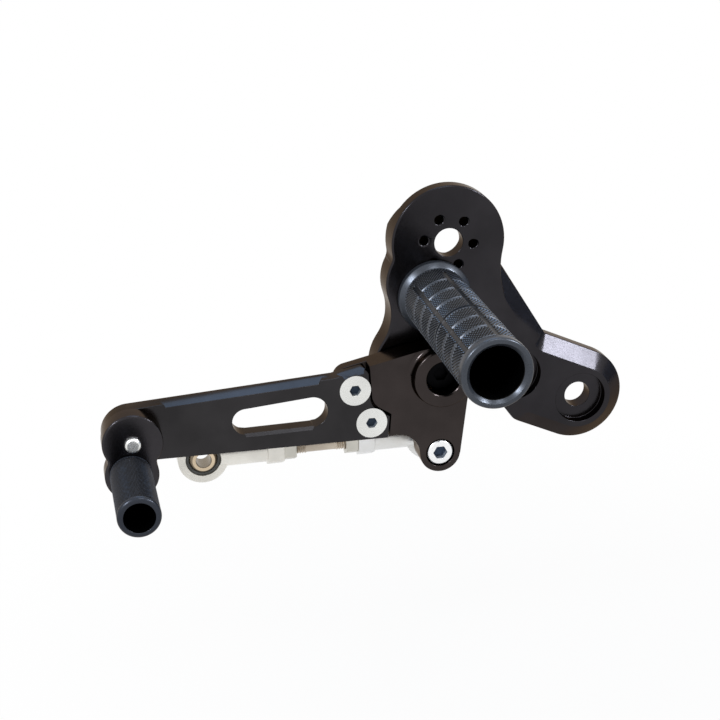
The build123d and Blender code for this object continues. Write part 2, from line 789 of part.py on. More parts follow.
# Shift rod: at each end a rod end, its liner and its ball, and a jam nut on the stud
ROD_FORWARD = Vector(-rod_reach, 0, -rod_drop).normalized()
ROD_ENDS = {
    "rear": (EAR_BOLT, ROD_FORWARD, rear_end_length),
    "front": (FRONT_EYE, ROD_FORWARD * -1, front_end_length),
}
ball_face_r = sqrt(ball_r**2 - (ball_width / 2) ** 2)
liner_mouth_r = sqrt((ball_r + running) ** 2 - (liner_width / 2) ** 2)


def across_rod(eye, along, distance):
    """Plane square to the rod at a distance from an eye."""
    origin = Vector(eye[0], -rod_depth, eye[1]) + along * distance
    return Plane(origin=origin, x_dir=(0, -1, 0), z_dir=along)


for end, (eye, along, end_length) in ROD_ENDS.items():
    with BuildPart() as ball:
        with BuildSketch(turned(eye)):
            with BuildLine():
                low, high = rod_depth - ball_width / 2, rod_depth + ball_width / 2
                ThreePointArc((ball_face_r, low), (ball_r, rod_depth), (ball_face_r, high))
                Polyline((ball_face_r, high), (m6_r + thread_clear, high))
                Polyline((m6_r + thread_clear, high), (m6_r + thread_clear, low))
                Polyline((m6_r + thread_clear, low), (ball_face_r, low))
            make_face()
        revolve(axis=y_axis(eye))
    keep(f"{end}_ball", ball)

    with BuildPart() as liner:
        with BuildSketch(turned(eye)):
            with BuildLine():
                low, high = rod_depth - liner_width / 2, rod_depth + liner_width / 2
                ThreePointArc((liner_mouth_r, low), (ball_r + running, rod_depth), (liner_mouth_r, high))
                Polyline((liner_mouth_r, high), (liner_r, high), (liner_r, low), (liner_mouth_r, low))
            make_face()
        revolve(axis=y_axis(eye))
    keep(f"{end}_liner", liner)

    with BuildPart() as rod_end:
        with BuildSketch(outboard(rod_depth - eye_width / 2)):
            with Locations(eye):
                Circle(eye_r)
        extrude(amount=eye_width)
        with BuildSketch(across_rod(eye, along, 0)):
            Circle(shank_r)
        extrude(amount=end_length - rod_hex_length)
        with BuildSketch(across_rod(eye, along, end_length - rod_hex_length)):
            RegularPolygon(rod_hex_flats / 2, 6, major_radius=False, rotation=hex_turn)
        extrude(amount=rod_hex_length)
        bore(eye, liner_r + press_clear, rod_depth - shank_r, rod_depth + shank_r)
        with BuildSketch(across_rod(eye, along, end_length)):
            Circle(m6_r + thread_clear)
        extrude(amount=-stud_tap_depth, mode=Mode.SUBTRACT)
    keep(f"{end}_rod_end", rod_end)

    with BuildPart() as jam_nut:
        with BuildSketch(across_rod(eye, along, end_length)):
            RegularPolygon(jam_nut_flats / 2, 6, major_radius=False, rotation=hex_turn)
            Circle(m6_r + thread_clear, mode=Mode.SUBTRACT)
        extrude(amount=nut_height)
    keep(f"{end}_jam_nut", jam_nut)

stud_length = eye_spacing - rear_end_length - front_end_length + 2 * stud_grip
plain_middle = (eye_spacing + rear_end_length - front_end_length) / 2

with BuildPart() as link_stud:
    with BuildSketch(across_rod(EAR_BOLT, ROD_FORWARD, rear_end_length - stud_grip)):
        Circle(m6_r)
    extrude(amount=stud_length)
    with BuildSketch(across_rod(EAR_BOLT, ROD_FORWARD, plain_middle - stud_plain_length / 2)):
        Circle(m6_r)
        Circle(stud_plain_r, mode=Mode.SUBTRACT)
    extrude(amount=stud_plain_length, mode=Mode.SUBTRACT)
keep("link_stud", link_stud)
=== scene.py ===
"""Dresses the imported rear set: rounded edges, knurled grips, threads, finishes and a plain studio."""

import json
import math

import bpy
import numpy as np
from bpy.props import FloatProperty, FloatVectorProperty, IntProperty, PointerProperty
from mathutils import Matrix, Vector
from mathutils.bvhtree import BVHTree
from mathutils.kdtree import KDTree

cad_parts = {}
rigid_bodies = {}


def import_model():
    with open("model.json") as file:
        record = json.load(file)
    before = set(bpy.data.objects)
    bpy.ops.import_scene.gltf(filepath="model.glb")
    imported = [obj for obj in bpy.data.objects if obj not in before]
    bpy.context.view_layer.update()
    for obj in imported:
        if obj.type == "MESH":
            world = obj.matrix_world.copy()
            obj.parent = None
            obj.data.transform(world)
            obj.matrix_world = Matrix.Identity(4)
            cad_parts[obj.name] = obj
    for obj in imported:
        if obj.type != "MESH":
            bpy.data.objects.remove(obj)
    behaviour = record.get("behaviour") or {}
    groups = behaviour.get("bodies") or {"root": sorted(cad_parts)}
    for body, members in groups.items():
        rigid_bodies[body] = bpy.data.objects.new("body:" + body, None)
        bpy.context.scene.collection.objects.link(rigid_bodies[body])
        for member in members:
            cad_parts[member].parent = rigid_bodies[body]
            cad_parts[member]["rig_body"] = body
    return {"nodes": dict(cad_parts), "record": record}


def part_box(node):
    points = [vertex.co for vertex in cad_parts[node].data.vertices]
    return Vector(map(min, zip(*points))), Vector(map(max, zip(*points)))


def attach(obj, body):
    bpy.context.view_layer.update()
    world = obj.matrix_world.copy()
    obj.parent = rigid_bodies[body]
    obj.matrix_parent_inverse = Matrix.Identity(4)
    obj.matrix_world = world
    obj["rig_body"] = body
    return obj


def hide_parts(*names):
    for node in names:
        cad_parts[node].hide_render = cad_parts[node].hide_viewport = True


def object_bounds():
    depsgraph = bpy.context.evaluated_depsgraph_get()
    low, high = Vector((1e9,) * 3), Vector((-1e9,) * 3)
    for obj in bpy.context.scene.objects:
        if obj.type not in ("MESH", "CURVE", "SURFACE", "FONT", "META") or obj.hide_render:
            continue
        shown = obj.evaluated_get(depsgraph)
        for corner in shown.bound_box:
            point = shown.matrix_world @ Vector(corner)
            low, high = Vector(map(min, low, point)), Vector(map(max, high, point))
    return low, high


bl_info = {
    "name": "Rear Set Dresser",
    "version": (1, 0, 0),
    "blender": (4, 5, 0),
    "location": "View3D > Sidebar > Rear Set",
    "description": "Models the visible surfaces of a rear set on top of its packed parts",
    "category": "Object",
}

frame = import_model()
CAD_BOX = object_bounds()
SLOTS = {part["node"]: part["material_slot"] for part in frame["record"]["subparts"]}
OUTBOARD = Vector((0.0, -1.0, 0.0))
REARWARD = Vector((1.0, 0.0, 0.0))
MM_PER_M = 1000.0

# How near counts as the same point, the same radius and the same row, in metres.
MERGE = 2e-6
ON_RADIUS = 0.0001
ON_ROW = 1e-6

# Which edges are rounded or look sharp, and which faces a rounding has turned over.
SHARP_TURN = math.radians(28.0)
SMOOTH_TURN = math.radians(50.0)
KNURL_SMOOTH_TURN = math.radians(24.0)
THREAD_SMOOTH_TURN = math.radians(30.0)
ROUNDING_SEGMENTS = 2
ROUNDING_TRIES = 7
FOLD_AREA = 2e-10
FOLD_TURN = -0.1
FOLD_WIDTHS = 1.6
LARGE_FACES_FIRST = 100

# Back of the plate's top lobe, and the walls of its tapped holes and the sockets of the screws, which get
# painted shade.
TOP_LOBE_REACH = 0.024
TOP_LOBE_STEP = 0.003
HOLE_WALL_SLANT = 0.6
HOLE_WALL_START = 0.0002
HOLE_WALL_REACH = 1.1
SOCKET_RADIUS = 0.00295
SOCKET_START = 0.0002
SOCKET_DEPTH = 0.0032

# Small edges of the turned pieces, and their screw holes as points of (radius, distance along).
START_SIZE = 0.001
PEG_CORNER = 0.0003
PEG_EDGE = 0.0004
EDGE_POINTS = 3
LIP_POINTS = 4
ROUND_POINTS = 8
BORE_MARGIN = 0.004
BORE_STEP = 0.01
MOUTH_EASE = 0.00008
MOUTH_LIP = 0.00028
RING_WALL = 0.00008
WIDE_RING_SHARE = 1.2
FLANGE_LIP = 0.00004
FLANGE_EASE = 0.0001
FLANGE_BAND = 0.0005
FOOTPEG_HOLE = [(0.00405, 0.0), (0.00405, 0.018), (0.0, 0.0202)]
TOE_PEG_HOLE = [(0.00305, 0.0), (0.00305, 0.0095), (0.0, 0.011)]
STUD_POINT = 0.0006
STUD_PLAIN_STEP = 0.002

# Finishes: noise that all share, then what each finish has of its own, and tints per piece that are partly
# own tone and partly painted reflection.
CLOUD_SCALE = 70.0
CLOUD_DETAIL = 4.0
GRAIN_DETAIL = 3.0
NOISE_SPAN = (0.3, 0.7)
GLOSS_SPREAD = 0.05
RELIEF_DEPTH = 0.0001
# Painted light and shade on the balls: flat faces paler, round darker.
BALL_PAINTED_SHADES = {0.90: (0.55, 0.52, 0.48), 0.98: (1.5, 1.42, 1.3)}
WHITE = (1.0, 1.0, 1.0)
LOOKS = {
    "black_anodised": {"roughness": 0.21, "blotch": 0.14, "grain": 2600.0, "relief": 0.03},
    "grip_anodised": {"roughness": 0.30, "blotch": 0.12, "grain": 2600.0, "relief": 0.05, "metal": 0.6},
    "bright_zinc": {"roughness": 0.28, "blotch": 0.07, "grain": 1800.0, "relief": 0.04, "metal": 0.8},
    "pale_zinc": {"roughness": 0.34, "blotch": 0.12, "grain": 1800.0, "relief": 0.06, "metal": 0.65},
    "yellow_zinc": {"roughness": 0.34, "blotch": 0.16, "grain": 1800.0, "relief": 0.05, "metal": 0.6},
    "ball_steel": {"roughness": 0.26, "blotch": 0.12, "grain": 1500.0, "relief": 0.03},
    "black_oxide": {"roughness": 0.45, "blotch": 0.20, "grain": 2200.0, "relief": 0.05},
    "ground_steel": {"roughness": 0.22, "blotch": 0.06, "grain": 2600.0, "relief": 0.03},
    "bronze": {"roughness": 0.38, "blotch": 0.16, "grain": 1800.0, "relief": 0.05},
    "bearing_liner": {"roughness": 0.60, "blotch": 0.25, "grain": 2600.0, "relief": 0.08, "metal": 0.0},
}
DARK_FINISHES = ("black_anodised", "grip_anodised", "black_oxide")
# Tints per piece: partly each piece's own tone, partly painted reflection, making a piece lighter or darker
# by how much of the bright surround it reflects.
TONE_AND_REFLECTION_TINTS = {
    "hanger_plate": (0.86, 0.85, 0.90),
    "lever_hub": (1.15, 1.0, 0.92),
    "ear_bolt": (1.18, 1.18, 1.22),
    "front_jam_nut": (0.80, 0.80, 0.78),
    "rear_jam_nut": (0.80, 0.80, 0.78),
    "rear_rod_end": (1.1, 1.12, 1.16),
    "toe_carrier": (1.15, 1.13, 1.18),
    "toe_peg": (0.50, 0.52, 0.57),
}

# Values that pieces keep: knurl tips made paler, partly rubbed bright and partly painted highlight; painted
# shade in knurl valleys, bores and lengthwise grooves; and painted shade inside a socket or a tapped hole.
WEAR_AND_SHADE = "wear"
WEAR_AND_SHADE_PLAIN = 0.5
WEAR_AND_SHADE_BAND = 0.12
STRIP_PAINTED_SHADE = 0.43
HOLLOW_SHADE_MASK = "hollow"
# Painted shade in hollows: the plate's tapped holes near black; the sockets bluish dark, partly blue
# passivate and partly painted shade.
SOCKET_PAINTED_SHADE = (0.16, 0.21, 0.30)
HOLLOW_PAINTED_SHADES = {
    "hanger_plate": (0.02, 0.02, 0.02),
    "arm_screw_upper": SOCKET_PAINTED_SHADE,
    "arm_screw_lower": SOCKET_PAINTED_SHADE,
    "toe_peg_screw": SOCKET_PAINTED_SHADE,
    "toe_carrier_screw": SOCKET_PAINTED_SHADE,
    "ear_bolt": SOCKET_PAINTED_SHADE,
}

# Stage: each softbox has its place and its width.
FLOOR_SIZE = 24.0
FLOOR_MATT = (0.6, 0.6, 0.6, 1.0)
FLOOR_FADE = (0.05, 0.30)
FLOOR_GLOW = (0.955, 1.0)
CARD_PLACE = (1.3, 0.02, 0.13)
CARD_SIZE = (0.5, 0.7, 1.0)
CARD_GREY = (0.70, 0.76, 0.90, 1.0)
SOFTBOXES = {
    "left": ((-1.00, -0.55, 0.74), 0.26),
    "right": ((0.91, -0.48, 0.835), 0.26),
    "back": ((0.00, 0.60, 1.12), 0.60),
    "top": ((0.12, -0.52, 1.13), 0.34),
}
SOFTBOX_AIM = Vector((-0.06, -0.03, 0.02))
SENSOR_WIDTH = 36.0
NEAREST_VIEW = 0.01


class RearSetEdges(bpy.types.PropertyGroup):
    """Edge roundings left by the tools."""

    plate: FloatProperty(
        name="Plate edge", description="Rounding on the hanger plate", default=0.00028, unit="LENGTH"
    )
    lever: FloatProperty(
        name="Lever edge", description="Rounding on hub, arm and carrier", default=0.0003, unit="LENGTH"
    )
    screw: FloatProperty(
        name="Screw edge", description="Rounding on screws and nuts", default=0.00016, unit="LENGTH"
    )
    rod_end: FloatProperty(
        name="Rod end edge", description="Rounding on the rod ends", default=0.0003, unit="LENGTH"
    )


class RearSetFootpeg(bpy.types.PropertyGroup):
    """Sizes of the footpeg."""

    flange_radius: FloatProperty(
        name="Flange radius", description="Radius of the root flange", default=0.0145, unit="LENGTH"
    )
    flange_bevel: FloatProperty(
        name="Flange bevel", description="Bevel of the root flange", default=0.0018, unit="LENGTH"
    )
    flange_thickness: FloatProperty(
        name="Flange thickness", description="Length of the root flange", default=0.0045, unit="LENGTH"
    )
    grip_radius: FloatProperty(
        name="Grip radius", description="Radius over the knurl tips", default=0.01265, unit="LENGTH"
    )
    floor_radius: FloatProperty(
        name="Groove floor", description="Radius of the groove floors", default=0.01205, unit="LENGTH"
    )
    collar_radius: FloatProperty(
        name="Collar radius", description="Radius of the end collar", default=0.0130, unit="LENGTH"
    )
    collar_length: FloatProperty(
        name="Collar length", description="Length of the end collar", default=0.0038, unit="LENGTH"
    )
    collar_round: FloatProperty(
        name="Collar rounding", description="Rounding of the end collar", default=0.0012, unit="LENGTH"
    )
    mouth_bevel: FloatProperty(
        name="Mouth bevel", description="Bevel of the bore's mouth", default=0.0015, unit="LENGTH"
    )
    bore_radius: FloatProperty(
        name="Bore radius", description="Radius of the hollow end", default=0.00955, unit="LENGTH"
    )
    bore_depth: FloatProperty(
        name="Bore depth", description="Depth of the hollow end", default=0.062, unit="LENGTH"
    )
    ring_pitch: FloatProperty(
        name="Ring pitch", description="Spacing of the ring grooves", default=0.0105, unit="LENGTH"
    )
    ring_width: FloatProperty(
        name="Ring width", description="Width of a ring groove", default=0.0011, unit="LENGTH"
    )
    ring_wide: FloatProperty(
        name="Wide ring width", description="Width of the widest ring groove", default=0.0016, unit="LENGTH"
    )
    wide_ring: IntProperty(
        name="Wide ring", description="Ring grooves between the widest one and the open end", default=3
    )
    strips: IntProperty(name="Strips", description="Number of lengthwise grooves", default=6)
    strip_turn: FloatProperty(
        name="Strip turn",
        description="Angle of the first lengthwise groove",
        default=math.radians(83.8),
        subtype="ANGLE",
    )
    strip_start: FloatProperty(
        name="Strip start",
        description="Lengthwise grooves start this far from the flange",
        default=0.004,
        unit="LENGTH",
    )
    strip_half_columns: IntProperty(
        name="Strip half width", description="Half width of a groove's floor in knurl columns", default=1
    )
    knurl_columns: IntProperty(
        name="Knurl columns", description="Knurl tips and valleys round the grip", default=132
    )
    knurl_step: FloatProperty(
        name="Knurl step", description="Spacing of the knurl rows", default=0.00095, unit="LENGTH"
    )
    knurl_depth: FloatProperty(
        name="Knurl depth", description="Depth of the knurl", default=0.0004, unit="LENGTH"
    )


class RearSetToePeg(bpy.types.PropertyGroup):
    """Sizes of the toe peg."""

    radius: FloatProperty(
        name="Radius", description="Radius over the knurl tips", default=0.008, unit="LENGTH"
    )
    bore_radius: FloatProperty(
        name="Bore radius", description="Radius of the hollow end", default=0.00575, unit="LENGTH"
    )
    bore_depth: FloatProperty(
        name="Bore depth", description="Depth of the hollow end", default=0.026, unit="LENGTH"
    )
    end_round: FloatProperty(
        name="End rounding", description="Rounding of the open end", default=0.0015, unit="LENGTH"
    )
    foot_chamfer: FloatProperty(
        name="Foot chamfer", description="Chamfer at the carrier", default=0.0005, unit="LENGTH"
    )
    knurl_columns: IntProperty(
        name="Knurl columns", description="Knurl tips and valleys round the peg", default=100
    )
    knurl_step: FloatProperty(
        name="Knurl step", description="Spacing of the knurl rows", default=0.00052, unit="LENGTH"
    )
    knurl_depth: FloatProperty(
        name="Knurl depth", description="Depth of the knurl", default=0.0003, unit="LENGTH"
    )


class RearSetThread(bpy.types.PropertyGroup):
    """Sizes of the shift rod's threaded stud."""

    crest_radius: FloatProperty(
        name="Crest radius", description="Radius over the thread", default=0.003, unit="LENGTH"
    )
    plain_radius: FloatProperty(
        name="Plain radius", description="Radius of the plain middle", default=0.0026, unit="LENGTH"
    )
    plain_length: FloatProperty(
        name="Plain length", description="Length of the plain middle", default=0.011, unit="LENGTH"
    )
    pitch: FloatProperty(name="Pitch", description="Thread pitch", default=0.001, unit="LENGTH")
    depth: FloatProperty(name="Depth", description="Thread depth", default=0.0005, unit="LENGTH")
    columns: IntProperty(name="Columns", description="Points round the thread", default=40)
    rows_per_turn: IntProperty(name="Rows per turn", description="Points along one pitch", default=8)


class RearSetFinishes(bpy.types.PropertyGroup):
    """Colours of the finishes."""

    black_anodised: FloatVectorProperty(
        name="Black anodised",
        description="Plate, hub, arm and carrier",
        default=(0.034, 0.0325, 0.034),
        subtype="COLOR",
    )
    grip_anodised: FloatVectorProperty(
        name="Grip anodised",
        description="Footpeg and toe peg",
        default=(0.062, 0.070, 0.084),
        subtype="COLOR",
    )
    bright_zinc: FloatVectorProperty(
        name="Bright zinc", description="Screws", default=(0.80, 0.80, 0.77), subtype="COLOR"
    )
    pale_zinc: FloatVectorProperty(
        name="Pale zinc",
        description="Rod ends, nuts and spacer",
        default=(0.88, 0.85, 0.78),
        subtype="COLOR",
    )
    yellow_zinc: FloatVectorProperty(
        name="Yellow zinc", description="Stud of the shift rod", default=(0.66, 0.57, 0.46), subtype="COLOR"
    )
    ball_steel: FloatVectorProperty(
        name="Ball steel", description="Rod end balls", default=(0.42, 0.36, 0.28), subtype="COLOR"
    )
    black_oxide: FloatVectorProperty(
        name="Black oxide",
        description="Pivot bolt and footpeg bolt",
        default=(0.004, 0.004, 0.0045),
        subtype="COLOR",
    )
    ground_steel: FloatVectorProperty(
        name="Ground steel", description="Pivot sleeve", default=(0.55, 0.55, 0.56), subtype="COLOR"
    )
    bronze: FloatVectorProperty(
        name="Bronze", description="Bush and thrust washer", default=(0.45, 0.28, 0.12), subtype="COLOR"
    )
    bearing_liner: FloatVectorProperty(
        name="Bearing liner",
        description="Liners of the rod ends",
        default=(0.15, 0.145, 0.13),
        subtype="COLOR",
    )
    # Painted reflection: brown put into what the dark finishes reflect at a slant, standing in for brown
    # surroundings.
    dark_edge: FloatVectorProperty(
        name="Dark edge",
        description="Tint of the dark finishes seen at a slant",
        default=(0.60, 0.535, 0.475),
        subtype="COLOR",
    )
    # Knurl tips are made paler, partly as rubbed metal and partly as painted highlight; valleys are
    # darkened as painted shade.
    tip_shade: FloatProperty(name="Tip shade", description="How pale the knurl tips are", default=1.7)
    valley_shade: FloatProperty(
        name="Valley shade", description="How pale the knurl valleys are", default=0.02
    )


class RearSetStage(bpy.types.PropertyGroup):
    """Camera, floor and lights."""

    eye: FloatVectorProperty(
        name="Camera place",
        description="Where the camera stands",
        default=(-0.20132, -0.57329, 0.23888),
        subtype="TRANSLATION",
        unit="LENGTH",
    )
    gaze: FloatVectorProperty(
        name="Camera direction",
        description="Which way the camera looks",
        default=(0.2034, 0.9116, -0.3573),
        subtype="DIRECTION",
    )
    lens: FloatProperty(name="Lens", description="Focal length in millimetres", default=78.88)
    shift_x: FloatProperty(name="Shift right", description="Sideways shift of the lens", default=-0.0076)
    shift_y: FloatProperty(name="Shift up", description="Upward shift of the lens", default=-0.00225)
    floor_drop: FloatProperty(
        name="Floor drop", description="Floor below the lowest point", default=0.1, unit="LENGTH"
    )
    floor_colour: FloatVectorProperty(
        name="Floor colour", description="Colour of floor and surround", default=WHITE, subtype="COLOR"
    )
    sky_level: FloatProperty(name="Surround", description="Soft light from all round", default=0.12)
    lamp_colour: FloatVectorProperty(
        name="Lamp colour",
        description="Colour of the left, right and top softboxes",
        default=(0.88, 0.93, 1.0),
        subtype="COLOR",
    )
    left_power: FloatProperty(
        name="Left light", description="Power of the left softbox in watts", default=10.0
    )
    right_power: FloatProperty(
        name="Right light", description="Power of the right softbox in watts", default=9.5
    )
    back_power: FloatProperty(
        name="Back light", description="Power of the back softbox in watts", default=3.0
    )
    top_power: FloatProperty(
        name="Top light", description="Power of the top softbox in watts", default=2.2
    )
    back_colour: FloatVectorProperty(
        name="Back colour",
        description="Colour of the back softbox",
        default=(0.35, 0.62, 1.0),
        subtype="COLOR",
    )


def clear_selection():
    """Leave edit mode and let go of everything."""
    if bpy.context.object and bpy.context.object.mode != "OBJECT":
        bpy.ops.object.mode_set(mode="OBJECT")
    bpy.ops.object.select_all(action="DESELECT")


def take(piece):
    """Select one piece and make it the active one."""
    clear_selection()
    piece.select_set(True)
    bpy.context.view_layer.objects.active = piece


def mount(name):
    """One of the part's mounts, as the record gives it."""
    return next(entry for entry in frame["record"]["mounts"] if entry["name"] == name)


def middle_of(node):
    """Middle of a CAD node's box."""
    low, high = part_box(node)
    return (low + high) / 2


def peg_axis(node):
    """Foot and length of a peg, which points outboard."""
    low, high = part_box(node)
    return Vector(((low.x + high.x) / 2, high.y, (low.z + high.z) / 2)), high.y - low.y


def link(output, socket, owner):
    """Join an output to an input in the nodes of a material or of the world."""
    owner.node_tree.links.new(output, socket)


def worked_out(owner, operation, *values):
    """Result of one step of arithmetic on other outputs."""
    step = owner.node_tree.nodes.new("ShaderNodeMath")
    step.operation = operation
    for value, socket in zip(values, step.inputs):
        link(value, socket, owner)
    return step.outputs["Value"]


def mapped(owner, value, span, result, interpolation="LINEAR"):
    """A value carried from one span of numbers over to another."""
    step = owner.node_tree.nodes.new("ShaderNodeMapRange")
    step.interpolation_type = interpolation
    step.inputs["From Min"].default_value, step.inputs["From Max"].default_value = span
    step.inputs["To Min"].default_value, step.inputs["To Max"].default_value = result
    link(value, step.inputs["Value"], owner)
    return step.outputs["Result"]


def noise(material, place, scale, detail):
    """Soft noise that stays with the piece."""
    node = material.node_tree.nodes.new("ShaderNodeTexNoise")
    node.inputs["Scale"].default_value = scale
    node.inputs["Detail"].default_value = detail
    link(place.outputs["Object"], node.inputs["Vector"], material)
    return node.outputs["Fac"]


def noted(material, name):
    """Value that a piece keeps for its points or faces."""
    node = material.node_tree.nodes.new("ShaderNodeAttribute")
    node.attribute_name = name
    return node.outputs["Fac"]


def finish(node, slot):
    """Finish of a piece: soft blotches, a fine grain in its gloss and a slight relief, with a per-piece
    tint that is partly painted reflection, a painted brown reflection at a slant on dark finishes, and
    painted light and shade on knurl, hollows and balls.
    """
    looks = LOOKS[slot]
    finishes = bpy.context.scene.rear_set_finishes
    # Per-piece tint, partly own tone and partly painted reflection.
    tint = TONE_AND_REFLECTION_TINTS.get(node, WHITE)
    colour = [part * share for part, share in zip(getattr(finishes, slot), tint)]
    material = bpy.data.materials.new(f"{slot}_{node}")
    material.use_nodes = True
    nodes = material.node_tree.nodes
    shader = nodes["Principled BSDF"]
    shader.inputs["Metallic"].default_value = looks.get("metal", 1.0)
    # Painted reflection: brown grazing reflection on the dark finishes.
    if slot in DARK_FINISHES:
        shader.inputs["Specular Tint"].default_value = (*finishes.dark_edge, 1.0)
    place = nodes.new("ShaderNodeTexCoord")

    clouds = noise(material, place, CLOUD_SCALE, CLOUD_DETAIL)
    tones = (scaled(colour, 1.0 - looks["blotch"]), scaled(colour, 1.0 + looks["blotch"]))
    surface = ramp(material, clouds, dict(zip(NOISE_SPAN, tones)))
    # Painted shade inside sockets and tapped holes.
    if node in HOLLOW_PAINTED_SHADES:
        surface = tinted(material, surface, hollow(material, HOLLOW_PAINTED_SHADES[node]))
    # Knurl: paler tips, partly rubbed and partly painted highlight, with painted shade in valleys, grooves
    # and bores.
    if slot == "grip_anodised":
        surface = knurl_rubbed_and_shaded(material, surface)
    # Painted light and shade on the ball.
    if slot == "ball_steel":
        surface = ball_painted_light_and_shade(material, surface, place)
    link(surface, shader.inputs["Base Color"], material)

    grain = noise(material, place, looks["grain"], GRAIN_DETAIL)
    spread = (looks["roughness"] - GLOSS_SPREAD, looks["roughness"] + GLOSS_SPREAD)
    dullness = mapped(material, grain, NOISE_SPAN, spread)
    if node in HOLLOW_PAINTED_SHADES:
        dullness = worked_out(material, "MAXIMUM", dullness, noted(material, HOLLOW_SHADE_MASK))
    link(dullness, shader.inputs["Roughness"], material)

    bump = nodes.new("ShaderNodeBump")
    bump.inputs["Strength"].default_value = looks["relief"]
    bump.inputs["Distance"].default_value = RELIEF_DEPTH
    link(grain, bump.inputs["Height"], material)
    link(bump.outputs["Normal"], shader.inputs["Normal"], material)
    return material


def scaled(colour, share):
    """A colour made lighter or darker."""
    return [min(1.0, part * share) for part in colour]


def ramp(material, value, stops):
    """Colour that goes with a value, from the colours at some places."""
    node = material.node_tree.nodes.new("ShaderNodeValToRGB")
    link(value, node.inputs["Fac"], material)
    elements = node.color_ramp.elements
    while len(elements) < len(stops):
        elements.new(0.5)
    for element, (place, colour) in zip(elements, sorted(stops.items())):
        element.position = place
        element.color = (*colour, 1.0)
    return node.outputs["Color"]


def tinted(material, surface, shade):
    """A surface colour multiplied by another colour."""
    mix = material.node_tree.nodes.new("ShaderNodeMix")
    mix.data_type = "RGBA"
    mix.blend_type = "MULTIPLY"
    mix.clamp_result = False
    mix.inputs["Factor"].default_value = 1.0
    colours = [socket for socket in mix.inputs if socket.type == "RGBA"]
    link(surface, colours[0], material)
    link(shade, colours[1], material)
    return [socket for socket in mix.outputs if socket.type == "RGBA"][0]


def hollow(material, deepest):
    """Painted shade, dark inside sockets and tapped holes and white elsewhere; in the sockets its blue is
    partly the zinc's own blue passivate.
    """
    return ramp(material, noted(material, HOLLOW_SHADE_MASK), {0.0: WHITE, 1.0: deepest})


def knurl_rubbed_and_shaded(material, surface):
    """Knurl tips paler, partly rubbed bright and partly painted highlight; valleys, bore walls and
    lengthwise grooves darkened as painted shade.
    """
    finishes = bpy.context.scene.rear_set_finishes
    shades = {
        WEAR_AND_SHADE_PLAIN - WEAR_AND_SHADE_BAND: (finishes.valley_shade,) * 3,
        WEAR_AND_SHADE_PLAIN: WHITE,
        WEAR_AND_SHADE_PLAIN + WEAR_AND_SHADE_BAND: (finishes.tip_shade,) * 3,
    }
    return tinted(material, surface, ramp(material, noted(material, WEAR_AND_SHADE), shades))


def ball_painted_light_and_shade(material, surface, place):
    """Ball painted paler on its flat faces and darker on its round, by the direction of the surface, as
    painted light and shade.
    """
    parts = material.node_tree.nodes.new("ShaderNodeSeparateXYZ")
    link(place.outputs["Normal"], parts.inputs["Vector"], material)
    flat = worked_out(material, "ABSOLUTE", parts.outputs["Y"])
    return tinted(material, surface, ramp(material, flat, BALL_PAINTED_SHADES))


def settle(piece, node):
    """Give a finished piece its finish, and let it stand for its CAD node."""
    piece.name = node + "_finished"
    piece.data.name = piece.name
    piece.data.materials.clear()
    piece.data.materials.append(finish(node, SLOTS[node]))
    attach(piece, frame["nodes"][node]["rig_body"])
    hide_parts(node)


def bevelled(mesh, sharp, width, crisp):
    """Copy of a mesh with some of its edges rounded and others kept crisp."""
    piece = bpy.data.objects.new("rounding", mesh.copy())
    bpy.context.scene.collection.objects.link(piece)
    take(piece)
    weights = np.zeros(len(mesh.edges), np.float32)
    weights[sharp] = 1.0
    piece.data.attributes.new("bevel_weight_edge", "FLOAT", "EDGE").data.foreach_set("value", weights)
    for edge in crisp:
        piece.data.edges[edge].use_edge_sharp = True
    edges = piece.modifiers.new("Edges", "BEVEL")
    edges.width = width
    edges.segments = ROUNDING_SEGMENTS
    edges.limit_method = "WEIGHT"
    edges.use_clamp_overlap = False
    edges.loop_slide = False
    bpy.ops.object.shade_smooth()
    bpy.ops.object.modifier_apply(modifier=edges.name)
    return piece


def folds(mesh, shape):
    """Corners of the faces that a rounding has turned over."""
    corners = []
    mesh.calc_loop_triangles()
    for face in mesh.loop_triangles:
        if face.area > FOLD_AREA:
            points = [mesh.vertices[index].co.copy() for index in face.vertices]
            normal = shape.find_nearest((points[0] + points[1] + points[2]) / 3)[1]
            if normal.dot(face.normal) < FOLD_TURN:
                corners += points
    return corners


def clear_of(mesh, sharp, corners, reach):
    """Those of the sharp edges that keep their distance from all the corners."""
    near = KDTree(len(corners))
    for index, corner in enumerate(corners):
        near.insert(corner, index)
    near.balance()
    kept = []
    for index in sharp:
        start, end = (mesh.vertices[corner].co for corner in mesh.edges[index].vertices)
        steps = max(1, int((end - start).length / reach))
        points = [start.lerp(end, step / steps) for step in range(steps + 1)]
        if min(near.find(point)[2] for point in points) > reach:
            kept.append(index)
    return kept


